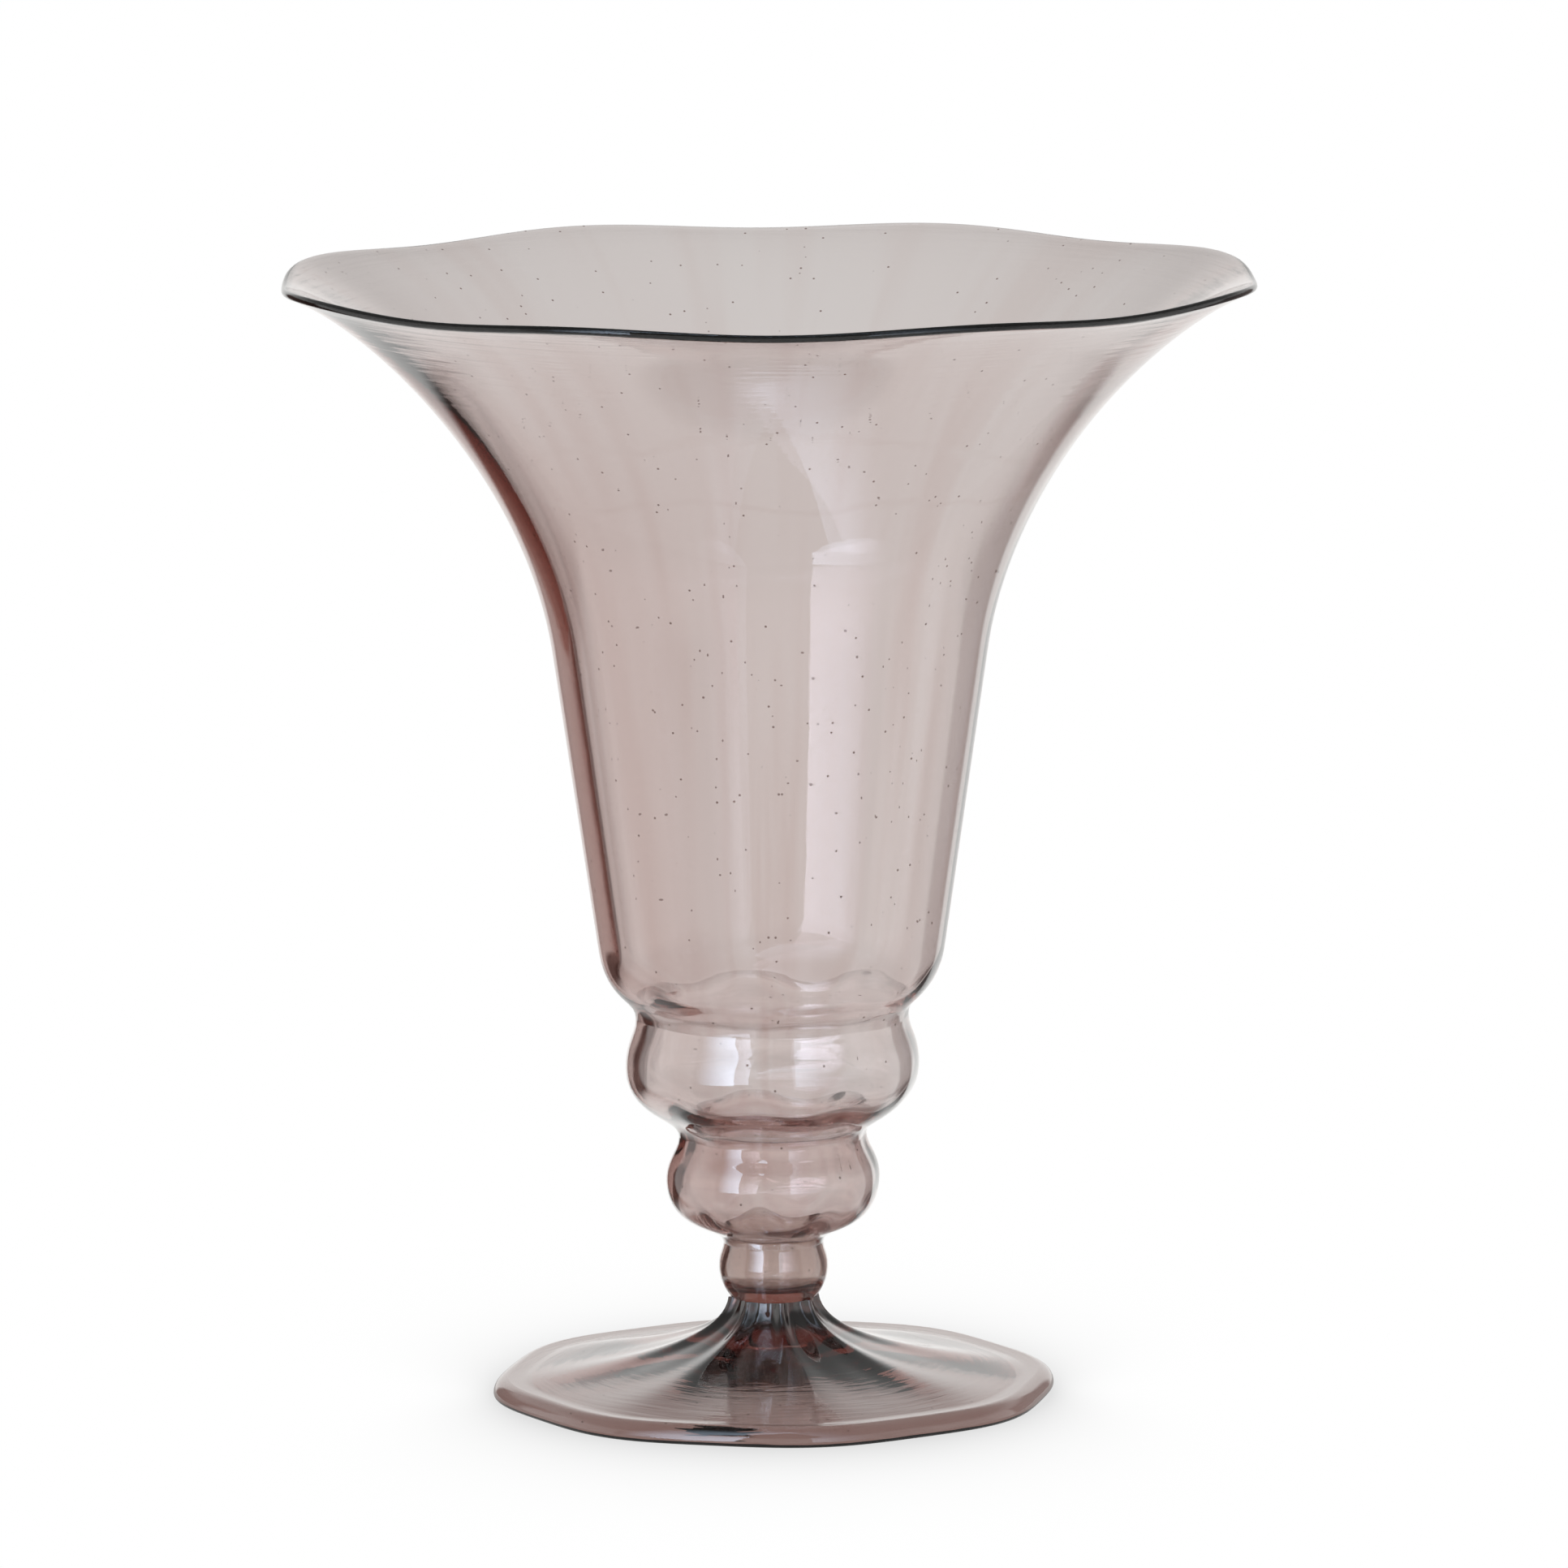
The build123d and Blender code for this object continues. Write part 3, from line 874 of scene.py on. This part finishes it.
def contact_shadow(shader, spot):
    """How dark the soft shadow round the foot is at each place on the table."""
    stage = bpy.context.scene.vase_stage
    foot = bpy.context.scene.vase_foot
    depth = stage.shadow_depth
    longer = spot.across * spot.across + spot.along * spot.along * (depth * depth)
    off = (spot.reach - foot.radius) / longer.math("SQRT", longer)
    fade = off.math("MULTIPLY", off.math("MAXIMUM", off, 0.0), -1 / stage.shadow_width)
    return fade.math("EXPONENT", fade) * stage.shadow_tone


def table_material():
    """A white table with a soft shadow; the glass sees less light under the foot, and beyond it the tent."""
    stage = bpy.context.scene.vase_stage
    foot = bpy.context.scene.vase_foot
    material = bpy.data.materials.new("table_white")
    shader = Shader(material)
    spot = find_spot(shader)
    path = shader.node("ShaderNodeLightPath")
    seen = shader.out(path, "Is Camera Ray")
    gloss = shader.out(path, "Is Reflection Ray")
    inner, beside, clear = [
        [foot.radius * edge for edge in edges] for edges in (UNDER_FOOT, BESIDE_FOOT, CLEAR_OF_FOOT)
    ]
    under = smooth(shader, spot.reach, *inner, stage.under_tone, stage.under_edge_tone)
    under = under + smooth(shader, spot.reach, *beside, 0.0, 1 - stage.under_edge_tone)
    outside = smooth(shader, spot.reach, *clear, 0.0, 1.0)
    under = under * (1 + gloss * outside * (stage.gloss_light - 1))
    light = seen * (1 - contact_shadow(shader, spot)) + (1 - seen) * under
    tone = shader.blend(seen, (*stage.tent_tone, 1), WHITE)
    glow = shader.node("ShaderNodeEmission", None, Color=tone, Strength=light)
    paint = shader.node("ShaderNodeBsdfDiffuse", None, Color=TABLE_PAINT)
    top = shader.cover(seen_rays(shader), shader.out(paint, "BSDF"), shader.out(glow, "Emission"))
    nothing = shader.out(shader.node("ShaderNodeBsdfTransparent"), "BSDF")
    table = shader.cover(outside * (1 - seen), top, nothing)
    shader.node("ShaderNodeOutputMaterial", None, Surface=table)
    return material


def make_world():
    """A white studio, plain for what it lights and white for what is seen."""
    world = bpy.data.worlds.new("studio")
    bpy.context.scene.world = world
    shader = Shader(world)
    strength = seen_rays(shader) * SEEN_LIGHT + ROOM_LIGHT
    back = shader.node("ShaderNodeBackground", None, Color=WHITE, Strength=strength)
    shader.node("ShaderNodeOutputWorld", None, Surface=shader.out(back, "Background"))


def add_stage_object(bm, name, material):
    """Makes an object that is part of the stage."""
    made = make_object(bm, name, material)
    return made


def add_softbox(name, heading, width, height, brightness, outer, place, tilt):
    """Hangs a softbox that shows in reflections only and fades upwards and to its outer side."""
    stage = bpy.context.scene.vase_stage
    lamp = bpy.data.lights.new(name, "AREA")
    lamp.shape = "RECTANGLE"
    lamp.size = width
    lamp.size_y = height
    lamp.energy = brightness * pi * width * height
    shader = Shader(lamp)
    spot = shader.node("ShaderNodeNewGeometry")
    axes = shader.node("ShaderNodeSeparateXYZ", None, Vector=shader.out(spot, "Parametric"))
    sideways = smooth(shader, shader.out(axes, "X"), outer, 1 - outer, 0.0, 1.0)
    upwards = smooth(shader, shader.out(axes, "Y"), *SOFTBOX_RISE, 1.0, stage.softbox_fade)
    mirrored = shader.out(shader.node("ShaderNodeLightPath"), "Glossy Depth")
    keep = mirrored.math("MINIMUM", mirrored, 1.0) * sideways * upwards
    glow = shader.node("ShaderNodeEmission", None, Color=(*stage.softbox_tone, 1), Strength=keep)
    shader.node("ShaderNodeOutputLight", None, Surface=shader.out(glow, "Emission"))
    softbox = bpy.data.objects.new(name, lamp)
    turn = Matrix.Rotation(heading, 4, "Z")
    softbox.matrix_world = Matrix.Translation(turn @ place) @ turn @ Matrix.Rotation(pi / 2 - tilt, 4, "X")
    softbox.visible_camera = False
    bpy.context.scene.collection.objects.link(softbox)


class VASE_OT_stage(Operator):
    """Sets the table, the light and the camera"""

    bl_idname = "vase.stage"
    bl_label = "Stage"

    def execute(self, context):
        stage = context.scene.vase_stage
        bm = bmesh.new()
        bmesh.ops.create_circle(bm, cap_ends=True, segments=STAGE_STEPS, radius=stage.table_radius)
        sides = bmesh.ops.extrude_face_region(bm, geom=list(bm.faces))
        lowered = [part for part in sides["geom"] if isinstance(part, bmesh.types.BMVert)]
        bmesh.ops.translate(bm, vec=(0, 0, -stage.table_thickness), verts=lowered)
        bmesh.ops.recalc_face_normals(bm, faces=bm.faces)
        add_stage_object(bm, "table", table_material())
        bm = bmesh.new()
        bmesh.ops.create_uvsphere(
            bm, u_segments=STAGE_STEPS, v_segments=STAGE_STEPS // 2, radius=stage.tent_radius
        )
        tent = add_stage_object(bm, "tent", tent_material())
        tent.visible_camera = False
        low = Vector((0.0, -stage.softbox_reach, stage.softbox_height / 2 - stage.softbox_drop))
        pitch = stage.softbox_pitch
        high = Vector((0.0, -cos(pitch), sin(pitch))) * stage.softbox_reach
        for name, heading, width, light, outer in (
            ("left", stage.left_heading, stage.left_width, stage.left_light, 0),
            ("right", stage.right_heading, stage.right_width, stage.right_light, 1),
        ):
            top_width = width * cos(pitch)
            top_light = light * stage.top_share
            add_softbox(f"softbox_{name}", heading, width, stage.softbox_height, light, outer, low, 0.0)
            add_softbox(
                f"softbox_{name}_top", heading, top_width, stage.top_height, top_light, outer, high, pitch
            )
        make_world()

        camera_data = bpy.data.cameras.new("camera")
        camera_data.lens = stage.lens
        camera = bpy.data.objects.new("camera", camera_data)
        place = Matrix.Translation((stage.camera_offset, -stage.camera_distance, stage.camera_height))
        tilt = Matrix.Rotation(pi / 2 - stage.camera_pitch, 4, "X")
        roll = Matrix.Rotation(-stage.camera_roll, 4, "Z")
        camera.matrix_world = place @ tilt @ roll
        context.scene.collection.objects.link(camera)
        context.scene.camera = camera
        context.scene.view_settings.view_transform = "Standard"
        context.scene.cycles.max_bounces = GLASS_BOUNCES
        context.scene.cycles.transmission_bounces = GLASS_BOUNCES
        context.scene.cycles.glossy_bounces = GLOSS_BOUNCES
        return {"FINISHED"}


class VASE_PT_panel(Panel):
    """Lists the steps that build the vase"""

    bl_idname = "VASE_PT_panel"
    bl_label = "Trumpet vase"
    bl_space_type = "VIEW_3D"
    bl_region_type = "UI"
    bl_category = "Vase"

    def draw(self, context):
        for step in STEPS:
            self.layout.operator(step.bl_idname)


GROUPS = (
    ("vase_ribs", VaseRibs), ("vase_bowl", VaseBowl), ("vase_bulbs", VaseBulbs), ("vase_knop", VaseKnop),
    ("vase_foot", VaseFoot), ("vase_glass", VaseGlass), ("vase_stage", VaseStage),
)
STEPS = (VASE_OT_foot, VASE_OT_knop, VASE_OT_bulbs, VASE_OT_bowl, VASE_OT_stage)


def register():
    for name, group in GROUPS:
        bpy.utils.register_class(group)
        setattr(bpy.types.Scene, name, PointerProperty(type=group))
    for step in STEPS:
        bpy.utils.register_class(step)
    bpy.utils.register_class(VASE_PT_panel)


def unregister():
    bpy.utils.unregister_class(VASE_PT_panel)
    for step in reversed(STEPS):
        bpy.utils.unregister_class(step)
    for name, group in reversed(GROUPS):
        delattr(bpy.types.Scene, name)
        bpy.utils.unregister_class(group)


def main():
    register()
    bpy.ops.vase.foot()
    bpy.ops.vase.knop()
    bpy.ops.vase.bulbs()
    bpy.ops.vase.bowl()
    bpy.ops.vase.stage()


if __name__ == "__main__":
    main()
